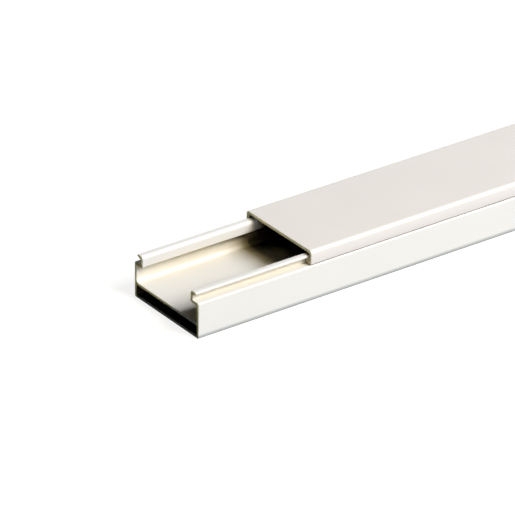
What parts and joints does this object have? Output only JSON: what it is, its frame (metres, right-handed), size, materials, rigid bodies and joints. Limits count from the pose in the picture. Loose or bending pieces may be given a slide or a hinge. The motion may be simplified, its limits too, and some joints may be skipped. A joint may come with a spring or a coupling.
{
  "type": "cord cover raceway",
  "caption": "Straight two-piece trunking: a hollow-backed channel base with hooked lips and a cover that clips over them and slides along.",
  "frame": {"origin": "middle of the base's back face, which lies against the wall", "axes": "+X along the stick, from the end where the channel shows; +Y across it; +Z out of the wall"},
  "size_m": [0.45, 0.04, 0.0204],
  "materials": {
    "base_pvc": "satin white rigid PVC, sawn ends",
    "cover_pvc": "satin white rigid PVC, sawn ends"
  },
  "bodies": {
    "base": {"base_channel": "base_pvc"},
    "cover": {"snap_cover": "cover_pvc"}
  },
  "joints": [
    {"name": "cover_slide", "type": "slide", "parent": "base", "child": "cover", "axis": [1, 0, 0], "range_m": [-0.05, 0.2]}
  ]
}
